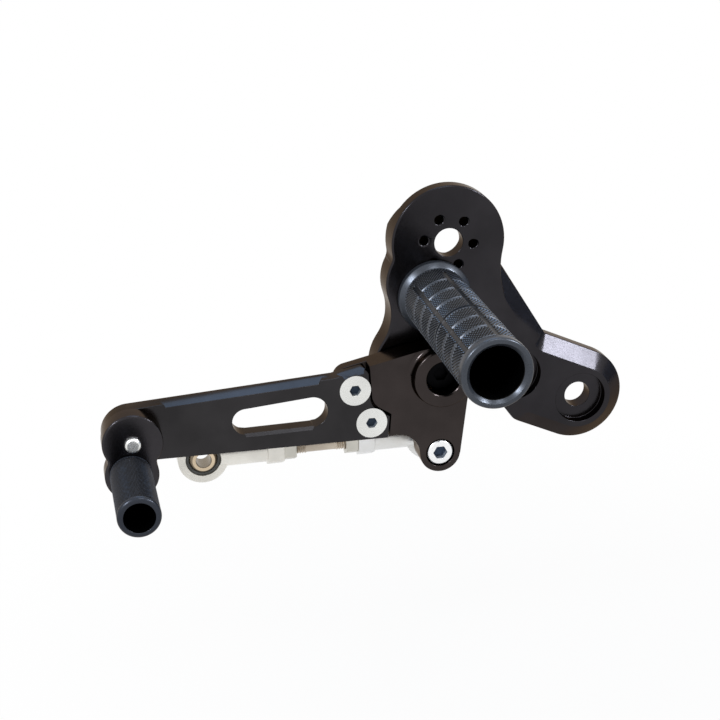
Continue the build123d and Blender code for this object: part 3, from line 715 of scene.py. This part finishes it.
def softened(node, width, stays_crisp=lambda point: False):
    """Copy of a CAD node with rounded edges, save the crisp ones and those that would fold over."""
    clear_selection()
    plain = bpy.data.objects.new(node, frame["nodes"][node].data.copy())
    bpy.context.scene.collection.objects.link(plain)
    take(plain)
    bpy.ops.mesh.customdata_custom_splitnormals_clear()
    bpy.ops.object.mode_set(mode="EDIT")
    bpy.ops.mesh.select_all(action="SELECT")
    bpy.ops.mesh.remove_doubles(threshold=MERGE)
    bpy.ops.mesh.select_all(action="DESELECT")
    bpy.ops.mesh.select_mode(type="EDGE")
    bpy.ops.mesh.edges_select_sharp(sharpness=SHARP_TURN)
    bpy.ops.object.mode_set(mode="OBJECT")
    mesh = plain.data
    sharp = [edge.index for edge in mesh.edges if edge.select]
    shape = BVHTree.FromPolygons(
        [point.co.copy() for point in mesh.vertices], [tuple(face.vertices) for face in mesh.polygons]
    )
    rounded = [
        index
        for index in sharp
        if not all(stays_crisp(mesh.vertices[corner].co) for corner in mesh.edges[index].vertices)
    ]
    piece = bevelled(mesh, rounded, width, set(sharp) - set(rounded))
    corners = folds(piece.data, shape)
    for _ in range(ROUNDING_TRIES):
        if not corners:
            break
        rounded = clear_of(mesh, rounded, corners, FOLD_WIDTHS * width)
        bpy.data.objects.remove(piece)
        piece = bevelled(mesh, rounded, width, set(sharp) - set(rounded))
        corners = folds(piece.data, shape)
    if corners:
        raise RuntimeError(f"the rounding of {node} folds over")
    bpy.data.objects.remove(plain)
    take(piece)
    bpy.ops.object.shade_smooth_by_angle(angle=SMOOTH_TURN)
    flat = piece.modifiers.new("Normals", "WEIGHTED_NORMAL")
    flat.keep_sharp = True
    flat.weight = LARGE_FACES_FIRST
    bpy.ops.object.modifier_apply(modifier=flat.name)
    settle(piece, node)
    return piece


def turned(name, foot, along, outward, profile, columns):
    """Turn a half profile of (radius, distance along) points about an axis."""
    clear_selection()
    points = [foot + along * far + outward * radius for radius, far in profile]
    bpy.ops.mesh.primitive_plane_add(size=START_SIZE, location=points[0])
    piece = bpy.context.object
    bpy.ops.object.transform_apply(location=True, rotation=True, scale=True)
    bpy.ops.object.mode_set(mode="EDIT")
    bpy.ops.mesh.select_mode(type="VERT")
    bpy.ops.mesh.select_all(action="SELECT")
    bpy.ops.mesh.merge(type="CENTER")
    here = points[0]
    for point in points[1:]:
        bpy.ops.mesh.extrude_vertices_move(TRANSFORM_OT_translate={"value": point - here})
        here = point
    bpy.ops.mesh.select_all(action="SELECT")
    bpy.ops.mesh.spin(steps=columns, angle=math.tau, center=foot, axis=along)
    bpy.ops.mesh.select_all(action="SELECT")
    bpy.ops.mesh.remove_doubles(threshold=MERGE)
    bpy.ops.mesh.normals_make_consistent(inside=False)
    bpy.ops.object.mode_set(mode="OBJECT")
    piece.name = name
    return piece


def polar(piece, foot, along, outward):
    """Distance along, radius and angle of every point of a turned piece."""
    points = np.empty(len(piece.data.vertices) * 3, np.float32)
    piece.data.vertices.foreach_get("co", points)
    points = points.reshape(-1, 3).astype(float) - np.array(foot)
    far = points @ np.array(along)
    across = points @ np.array(outward)
    up = points @ np.array(along.cross(outward))
    return far, np.hypot(across, up), np.arctan2(up, across)


def set_radius(piece, foot, along, outward, far, radius, angle):
    """Put every point of a turned piece at a new radius."""
    side = along.cross(outward)
    points = (
        np.array(foot)
        + np.outer(far, np.array(along))
        + np.outer(radius * np.cos(angle), np.array(outward))
        + np.outer(radius * np.sin(angle), np.array(side))
    )
    piece.data.vertices.foreach_set("co", points.astype(np.float32).ravel())
    piece.data.update()


def split_cells(piece):
    """Split every four-sided face along its shorter diagonal, which leaves the knurl's tips as pyramids."""
    take(piece)
    bpy.ops.object.mode_set(mode="EDIT")
    bpy.ops.mesh.select_all(action="SELECT")
    bpy.ops.mesh.quads_convert_to_tris(quad_method="SHORTEST_DIAGONAL", ngon_method="BEAUTY")
    bpy.ops.object.mode_set(mode="OBJECT")


def note(piece, name, values, domain="POINT"):
    """Keep a value for every point or face of a piece."""
    piece.data.attributes.new(name, "FLOAT", domain).data.foreach_set("value", values)


def arc(middle, radius, start, end, count):
    """Points of a rounding in a half profile, angles in degrees from the radial direction."""
    turns = [math.radians(start + (end - start) * step / count) for step in range(count + 1)]
    return [(middle[0] + radius * math.cos(turn), middle[1] + radius * math.sin(turn)) for turn in turns]


def rows_between(start, end, step):
    """Evenly spaced rows from start to end, about one step apart."""
    count = max(1, round((end - start) / step))
    return [start + (end - start) * row / count for row in range(count + 1)]


class REARSET_OT_plate(bpy.types.Operator):
    """Round the edges of the hanger plate and mark its tapped holes"""

    bl_idname = "rearset.plate"
    bl_label = "Hanger Plate"

    def execute(self, context):
        piece = softened("hanger_plate", context.scene.rear_set_edges.plate, self.behind_top_bore)
        self.note_hollows(piece)
        return {"FINISHED"}

    def behind_top_bore(self, point):
        """True at the back of the top lobe, where the holes cross the edge of the step."""
        across = point - Vector(mount("top_screw_ring")["pos_m"])
        return across.y > TOP_LOBE_STEP and math.hypot(across.x, across.z) < TOP_LOBE_REACH

    def note_hollows(self, piece):
        """Mark the walls of the tapped holes round the top bore, which get painted shade."""
        ring = mount("top_screw_ring")
        centre = Vector(ring["pos_m"])
        reach = ring["dims"]["pcd_mm"] / 2 / MM_PER_M
        hole = ring["dims"]["hole_r_mm"] / MM_PER_M
        inside = []
        for face in piece.data.polygons:
            across = face.center - centre
            on_wall = abs(face.normal.y) < HOLE_WALL_SLANT and across.y > HOLE_WALL_START
            from_ring = abs(math.hypot(across.x, across.z) - reach)
            inside.append(1.0 if on_wall and from_ring < HOLE_WALL_REACH * hole else 0.0)
        note(piece, HOLLOW_SHADE_MASK, inside, "FACE")


class REARSET_OT_lever(bpy.types.Operator):
    """Round the edges of the lever's hub, arm and toe peg carrier"""

    bl_idname = "rearset.lever"
    bl_label = "Lever"

    def execute(self, context):
        for node in ("lever_hub", "lever_arm", "toe_carrier"):
            softened(node, context.scene.rear_set_edges.lever)
        return {"FINISHED"}


class REARSET_OT_footpeg(bpy.types.Operator):
    """Turn the footpeg and cut its knurled blocks"""

    bl_idname = "rearset.footpeg"
    bl_label = "Footpeg"

    def execute(self, context):
        sizes = context.scene.rear_set_footpeg
        foot, length = peg_axis("footpeg")
        outward = Vector((math.cos(sizes.strip_turn), 0.0, math.sin(sizes.strip_turn)))
        grip_start = sizes.flange_thickness
        grip_end = length - sizes.collar_length
        rings = self.rings(sizes, grip_start, grip_end)
        blocks = self.blocks(grip_start, rings)
        profile = self.bore(sizes, length) + self.collar(sizes, length)
        profile += self.grip(sizes, rings, blocks) + self.flange(sizes) + FOOTPEG_HOLE
        piece = turned("footpeg", foot, OUTBOARD, outward, profile, sizes.knurl_columns)
        self.carve(piece, foot, outward, sizes, blocks)
        split_cells(piece)
        bpy.ops.object.shade_smooth_by_angle(angle=KNURL_SMOOTH_TURN)
        settle(piece, "footpeg")
        return {"FINISHED"}

    def rings(self, sizes, start, end):
        """Start and end of every ring groove, from the plate outwards."""
        rings = []
        place = end - sizes.ring_width / 2
        while place > start + sizes.strip_start:
            half = (sizes.ring_wide if len(rings) == sizes.wide_ring else sizes.ring_width) / 2
            rings.append((place - half, place + half))
            place -= sizes.ring_pitch
        return rings[::-1]

    def blocks(self, start, rings):
        """Start and end of every knurled block between the ring grooves."""
        starts = [start] + [high for _, high in rings[:-1]]
        return [(block, ring[0]) for block, ring in zip(starts, rings)]

    def bore(self, sizes, length):
        """Half profile of the hollow end, from the middle of its floor to its bevelled mouth."""
        radius = sizes.bore_radius
        bevel = sizes.mouth_bevel
        floor = length - sizes.bore_depth
        mouth = length - bevel
        points = [(0.0, floor), (radius / 2, floor), (radius - PEG_CORNER, floor)]
        points.append((radius, floor + PEG_CORNER))
        rows = rows_between(floor + BORE_MARGIN, length - BORE_MARGIN, BORE_STEP)
        points += [(radius, far) for far in rows]
        points += [(radius, mouth - PEG_CORNER), (radius + MOUTH_EASE, mouth)]
        points.append((radius + PEG_EDGE, mouth + PEG_EDGE))
        points += [(radius + bevel - PEG_CORNER, length - MOUTH_LIP), (radius + bevel, length)]
        return points

    def collar(self, sizes, length):
        """Half profile of the end collar, from its rounded rim to its back."""
        rim = sizes.collar_round
        back = length - sizes.collar_length
        points = arc((sizes.collar_radius - rim, length - rim), rim, 90.0, 0.0, ROUND_POINTS)
        corner = (sizes.collar_radius - PEG_CORNER, back + PEG_CORNER)
        return points + arc(corner, PEG_CORNER, 0.0, -90.0, EDGE_POINTS)

    def grip(self, sizes, rings, blocks):
        """Half profile of the ring grooves and the blocks, from the collar to the flange."""
        slope = sizes.grip_radius - sizes.floor_radius
        points = []
        for (start, end), (low, high) in zip(reversed(blocks), reversed(rings)):
            wide = high - low > WIDE_RING_SHARE * sizes.ring_width
            points.append((sizes.floor_radius, high - RING_WALL))
            points.append((sizes.floor_radius, low + (RING_WALL if wide else slope)))
            rows = rows_between(start, end, sizes.knurl_step)
            points += [(sizes.grip_radius, far) for far in reversed(rows)]
        return points

    def flange(self, sizes):
        """Half profile of the root flange, from the grip down its bevel to the plate."""
        radius = sizes.flange_radius
        face = sizes.flange_thickness
        bevel = sizes.flange_bevel
        points = [
            (radius - bevel, face - FLANGE_LIP),
            (radius - bevel + PEG_CORNER, face - PEG_CORNER),
            (radius - PEG_EDGE, face - bevel + PEG_EDGE),
            (radius - FLANGE_EASE, face - bevel),
            (radius, face - bevel - FLANGE_BAND),
        ]
        return points + arc((radius - PEG_EDGE, PEG_EDGE), PEG_EDGE, 0.0, -90.0, EDGE_POINTS)

    def carve(self, piece, foot, outward, sizes, blocks):
        """Sink the knurl's valleys and the lengthwise grooves, and note the paler tips (partly rubbed,
        partly painted highlight) and the painted shade in valleys, grooves and bore.
        """
        far, radius, angle = polar(piece, foot, OUTBOARD, outward)
        wear = np.full(len(radius), WEAR_AND_SHADE_PLAIN, np.float32)
        # Painted shade: the bore's walls are darkened.
        wear[radius < sizes.bore_radius + ON_RADIUS] = 0.0
        column_turn = math.tau / sizes.knurl_columns
        column = np.rint(angle / column_turn).astype(int)
        spacing = sizes.knurl_columns // sizes.strips
        from_strip = (column + spacing // 2) % spacing - spacing // 2
        in_strip = np.abs(from_strip) <= sizes.strip_half_columns
        on_grip = np.abs(radius - sizes.grip_radius) < ON_RADIUS
        strip_floor = sizes.floor_radius / np.cos(from_strip * column_turn)
        for start, end in blocks:
            count = max(1, round((end - start) / sizes.knurl_step))
            row = np.rint((far - start) / (end - start) * count).astype(int)
            inside = on_grip & (far > start - ON_ROW) & (far < end + ON_ROW)
            knurled = inside & (row > 0) & (row < count)
            valley = (row + column) % 2 == 1
            # Valleys darkened as painted shade; tips made paler, partly rubbed and partly painted
            # highlight.
            radius[knurled & valley] -= sizes.knurl_depth
            wear[knurled & valley] = 0.0
            wear[knurled & ~valley] = 1.0
            sunk = inside & in_strip & (far > sizes.flange_thickness + sizes.strip_start)
            radius[sunk] = strip_floor[sunk]
            # Floors of the lengthwise grooves darkened as painted shade.
            wear[sunk] = STRIP_PAINTED_SHADE
        set_radius(piece, foot, OUTBOARD, outward, far, radius, angle)
        note(piece, WEAR_AND_SHADE, wear)


class REARSET_OT_toe_peg(bpy.types.Operator):
    """Turn the toe peg and cut its knurl"""

    bl_idname = "rearset.toe_peg"
    bl_label = "Toe Peg"

    def execute(self, context):
        sizes = context.scene.rear_set_toe_peg
        foot, length = peg_axis("toe_peg")
        knurl_start = 2.0 * sizes.foot_chamfer
        knurl_end = length - sizes.end_round
        rows = rows_between(knurl_start, knurl_end, sizes.knurl_step)
        profile = self.profile(sizes, length, rows)
        piece = turned("toe_peg", foot, OUTBOARD, REARWARD, profile, sizes.knurl_columns)
        self.carve(piece, foot, sizes, rows)
        split_cells(piece)
        bpy.ops.object.shade_smooth_by_angle(angle=KNURL_SMOOTH_TURN)
        settle(piece, "toe_peg")
        return {"FINISHED"}

    def profile(self, sizes, length, rows):
        """Half profile from the bore's bottom, out over the end and back to the carrier."""
        floor = length - sizes.bore_depth
        end = sizes.end_round
        chamfer = sizes.foot_chamfer
        points = [(0.0, floor), (sizes.bore_radius - PEG_CORNER, floor)]
        points.append((sizes.bore_radius, floor + PEG_CORNER))
        points += arc((sizes.bore_radius + PEG_EDGE, length - PEG_EDGE), PEG_EDGE, 180.0, 90.0, LIP_POINTS)
        points += arc((sizes.radius - end, length - end), end, 90.0, 0.0, ROUND_POINTS)[:-1]
        points += [(sizes.radius, far) for far in reversed(rows)]
        points += [(sizes.radius, chamfer), (sizes.radius - chamfer, 0.0)]
        return points + TOE_PEG_HOLE

    def carve(self, piece, foot, sizes, rows):
        """Sink the knurl's valleys, and note the paler tips (partly rubbed, partly painted highlight) and
        the painted shade in valleys and bore.
        """
        far, radius, angle = polar(piece, foot, OUTBOARD, REARWARD)
        last = len(rows) - 1
        column = np.rint(angle / (math.tau / sizes.knurl_columns)).astype(int)
        row = np.rint((far - rows[0]) / (rows[-1] - rows[0]) * last).astype(int)
        knurled = (np.abs(radius - sizes.radius) < ON_RADIUS) & (row > 0) & (row < last)
        valley = (row + column) % 2 == 1
        wear = np.full(len(radius), WEAR_AND_SHADE_PLAIN, np.float32)
        # Painted shade on the bore's walls and in the valleys; paler tips, partly rubbed and partly painted
        # highlight.
        wear[radius < sizes.bore_radius + ON_RADIUS] = 0.0
        wear[knurled & valley] = 0.0
        wear[knurled & ~valley] = 1.0
        radius[knurled & valley] -= sizes.knurl_depth
        set_radius(piece, foot, OUTBOARD, REARWARD, far, radius, angle)
        note(piece, WEAR_AND_SHADE, wear)


class REARSET_OT_screws(bpy.types.Operator):
    """Round the edges of the screws, bolts, nut and spacer, and mark the sockets"""

    bl_idname = "rearset.screws"
    bl_label = "Screws"

    def execute(self, context):
        width = context.scene.rear_set_edges.screw
        nodes = ("arm_screw_upper", "arm_screw_lower", "toe_carrier_screw", "toe_peg_screw")
        for node in nodes + ("ear_bolt", "pivot_bolt", "footpeg_bolt", "ear_nut", "rod_spacer"):
            piece = softened(node, width)
            if node in HOLLOW_PAINTED_SHADES:
                self.note_socket(piece, node)
        return {"FINISHED"}

    def note_socket(self, piece, node):
        """Mark the walls and the floor of a screw's socket, which get painted shade."""
        low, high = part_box(node)
        face, inward = (high.y, -1.0) if node.startswith("toe") else (low.y, 1.0)
        axis = (low + high) / 2
        inside = []
        for point in piece.data.vertices:
            across = math.hypot(point.co.x - axis.x, point.co.z - axis.z)
            deep = (point.co.y - face) * inward
            socket = across < SOCKET_RADIUS and SOCKET_START < deep < SOCKET_DEPTH
            inside.append(1.0 if socket else 0.0)
        note(piece, HOLLOW_SHADE_MASK, inside)


class REARSET_OT_shift_rod(bpy.types.Operator):
    """Round the rod ends, nuts and balls, and cut the stud's threads"""

    bl_idname = "rearset.shift_rod"
    bl_label = "Shift Rod"

    def execute(self, context):
        edges = context.scene.rear_set_edges
        for node in ("rear_rod_end", "front_rod_end"):
            softened(node, edges.rod_end)
        for node in ("rear_jam_nut", "front_jam_nut", "rear_ball", "front_ball"):
            softened(node, edges.screw)
        self.stud(context.scene.rear_set_thread)
        return {"FINISHED"}

    def stud(self, sizes):
        """Turn the stud and cut a helical thread on both ends."""
        along = middle_of("front_ball") - middle_of("rear_ball")
        along.y = 0.0
        along.normalize()
        low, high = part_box("link_stud")
        length = (high.x - low.x) / abs(along.x)
        foot = middle_of("link_stud") - along * (length / 2)
        plain_start = (length - sizes.plain_length) / 2
        plain_end = (length + sizes.plain_length) / 2
        step = sizes.pitch / sizes.rows_per_turn
        first = rows_between(STUD_POINT, plain_start - STUD_POINT, step)
        plain = rows_between(plain_start, plain_end, STUD_PLAIN_STEP)
        last = rows_between(plain_end + STUD_POINT, length - STUD_POINT, step)
        core = sizes.crest_radius - sizes.depth
        profile = [(0.0, 0.0), (core, 0.0)]
        profile += [(sizes.crest_radius, far) for far in first]
        profile += [(sizes.plain_radius, far) for far in plain]
        profile += [(sizes.crest_radius, far) for far in last]
        profile += [(core, length), (0.0, length)]
        piece = turned("link_stud", foot, along, OUTBOARD, profile, sizes.columns)
        far, radius, angle = polar(piece, foot, along, OUTBOARD)
        threaded = np.abs(radius - sizes.crest_radius) < ON_RADIUS
        phase = np.mod(far / sizes.pitch - angle / math.tau, 1.0)
        radius[threaded] -= (sizes.depth * np.abs(2.0 * phase - 1.0))[threaded]
        set_radius(piece, foot, along, OUTBOARD, far, radius, angle)
        take(piece)
        bpy.ops.object.shade_smooth_by_angle(angle=THREAD_SMOOTH_TURN)
        settle(piece, "link_stud")


class REARSET_OT_pivot(bpy.types.Operator):
    """Round the edges of the bearing parts inside the pivot and the rod ends"""

    bl_idname = "rearset.pivot"
    bl_label = "Bearings"

    def execute(self, context):
        for node in ("thrust_washer", "pivot_sleeve", "pivot_bush", "rear_liner", "front_liner"):
            softened(node, context.scene.rear_set_edges.screw)
        return {"FINISHED"}


class REARSET_OT_stage(bpy.types.Operator):
    """Set up the floor, the surround, the soft lights, the card and the camera"""

    bl_idname = "rearset.stage"
    bl_label = "Stage"

    def execute(self, context):
        stage = context.scene.rear_set_stage
        self.floor(stage)
        self.surround(context.scene, stage)
        for side, (place, size) in SOFTBOXES.items():
            colour = stage.back_colour if side == "back" else stage.lamp_colour
            self.lamp(f"{side}_softbox", place, size, getattr(stage, f"{side}_power"), colour)
        self.card()
        self.camera(context.scene, stage)
        return {"FINISHED"}

    def matt(self, name, colour):
        """Material for the stage with a plain matt shader, not yet joined to its output."""
        material = bpy.data.materials.new(name)
        material.use_nodes = True
        nodes = material.node_tree.nodes
        nodes.remove(nodes["Principled BSDF"])
        shader = nodes.new("ShaderNodeBsdfDiffuse")
        shader.inputs["Color"].default_value = colour
        return material, shader.outputs["BSDF"]

    def background_rays(self, owner):
        """1 for the rays that see the background, from the eye or by way of metal and glass."""
        light = owner.node_tree.nodes.new("ShaderNodeLightPath")
        seen = worked_out(owner, "MAXIMUM", light.outputs["Is Camera Ray"], light.outputs["Is Glossy Ray"])
        return worked_out(owner, "MAXIMUM", seen, light.outputs["Is Transmission Ray"])

    def card(self):
        """Grey card on the right, out of the camera's sight, which the slanted faces reflect."""
        clear_selection()
        bpy.ops.mesh.primitive_plane_add(size=1.0, location=CARD_PLACE, rotation=(0.0, math.pi / 2, 0.0))
        card = bpy.context.object
        card.name = "grey_card"
        card.scale = CARD_SIZE
        card.visible_camera = False
        card.visible_shadow = False
        material, shader = self.matt("grey_card", CARD_GREY)
        link(shader, material.node_tree.nodes["Material Output"].inputs["Surface"], material)
        card.data.materials.append(material)

    def floor(self, stage):
        """Pale floor that runs out to the horizon and keeps the shadow."""
        clear_selection()
        height = CAD_BOX[0].z - stage.floor_drop
        bpy.ops.mesh.primitive_plane_add(size=FLOOR_SIZE, location=(0.0, 0.0, height))
        floor = bpy.context.object
        floor.name = "floor"
        material, shader = self.matt("floor", FLOOR_MATT)
        nodes = material.node_tree.nodes
        glow = nodes.new("ShaderNodeEmission")
        glow.inputs["Color"].default_value = (*stage.floor_colour, 1.0)
        glow.inputs["Strength"].default_value = 1.0
        place = nodes.new("ShaderNodeTexCoord")
        reach = nodes.new("ShaderNodeVectorMath")
        reach.operation = "LENGTH"
        link(place.outputs["Object"], reach.inputs[0], material)
        fade = mapped(material, reach.outputs["Value"], FLOOR_FADE, FLOOR_GLOW, "SMOOTHSTEP")
        share = worked_out(material, "MULTIPLY", self.background_rays(material), fade)
        mix = nodes.new("ShaderNodeMixShader")
        link(share, mix.inputs["Fac"], material)
        link(shader, mix.inputs[1], material)
        link(glow.outputs["Emission"], mix.inputs[2], material)
        link(mix.outputs["Shader"], nodes["Material Output"].inputs["Surface"], material)
        floor.data.materials.append(material)

    def surround(self, scene, stage):
        """Even surround: white to the eye and in reflections, softer as a light."""
        world = bpy.data.worlds.new("surround")
        scene.world = world
        world.use_nodes = True
        back = world.node_tree.nodes["Background"]
        back.inputs["Color"].default_value = (*stage.floor_colour, 1.0)
        level = mapped(world, self.background_rays(world), (0.0, 1.0), (stage.sky_level, 1.0))
        link(level, back.inputs["Strength"], world)

    def lamp(self, name, place, size, power, colour):
        """Square soft light that faces the part."""
        lamp = bpy.data.lights.new(name, "AREA")
        lamp.shape = "SQUARE"
        lamp.color = colour
        lamp.size = size
        lamp.energy = power
        body = bpy.data.objects.new(name, lamp)
        body.location = place
        aim = SOFTBOX_AIM - Vector(place)
        body.rotation_euler = aim.to_track_quat("-Z", "Y").to_euler()
        bpy.context.scene.collection.objects.link(body)

    def camera(self, scene, stage):
        """Camera at the photograph's place."""
        view = bpy.data.cameras.new("camera")
        view.lens = stage.lens
        view.sensor_width = SENSOR_WIDTH
        view.shift_x = stage.shift_x
        view.shift_y = stage.shift_y
        view.clip_start = NEAREST_VIEW
        body = bpy.data.objects.new("camera", view)
        body.location = stage.eye
        body.rotation_euler = Vector(stage.gaze).to_track_quat("-Z", "Y").to_euler()
        scene.collection.objects.link(body)
        scene.camera = body
        scene.view_settings.view_transform = "Standard"


class REARSET_PT_panel(bpy.types.Panel):
    """Sidebar panel with the sizes and the steps"""

    bl_idname = "REARSET_PT_panel"
    bl_label = "Rear Set"
    bl_space_type = "VIEW_3D"
    bl_region_type = "UI"
    bl_category = "Rear Set"

    def draw(self, context):
        for step in STEPS:
            self.layout.operator(step.bl_idname)
        for name in GROUPS:
            box = self.layout.box()
            group = getattr(context.scene, name)
            for key in group.__annotations__:
                box.prop(group, key)


GROUPS = {
    "rear_set_edges": RearSetEdges,
    "rear_set_footpeg": RearSetFootpeg,
    "rear_set_toe_peg": RearSetToePeg,
    "rear_set_thread": RearSetThread,
    "rear_set_finishes": RearSetFinishes,
    "rear_set_stage": RearSetStage,
}
STEPS = (
    REARSET_OT_plate,
    REARSET_OT_lever,
    REARSET_OT_footpeg,
    REARSET_OT_toe_peg,
    REARSET_OT_screws,
    REARSET_OT_shift_rod,
    REARSET_OT_pivot,
    REARSET_OT_stage,
)


def register():
    """Add the sizes, the steps and the panel."""
    for name, group in GROUPS.items():
        bpy.utils.register_class(group)
        setattr(bpy.types.Scene, name, PointerProperty(type=group))
    for step in STEPS:
        bpy.utils.register_class(step)
    bpy.utils.register_class(REARSET_PT_panel)


def unregister():
    """Take the panel, the steps and the sizes away again."""
    bpy.utils.unregister_class(REARSET_PT_panel)
    for step in reversed(STEPS):
        bpy.utils.unregister_class(step)
    for name, group in reversed(GROUPS.items()):
        delattr(bpy.types.Scene, name)
        bpy.utils.unregister_class(group)


def main():
    """Register the sizes, steps and panel, and run every step in order."""
    register()
    bpy.ops.rearset.plate()
    bpy.ops.rearset.lever()
    bpy.ops.rearset.footpeg()
    bpy.ops.rearset.toe_peg()
    bpy.ops.rearset.screws()
    bpy.ops.rearset.shift_rod()
    bpy.ops.rearset.pivot()
    bpy.ops.rearset.stage()


if __name__ == "__main__":
    main()
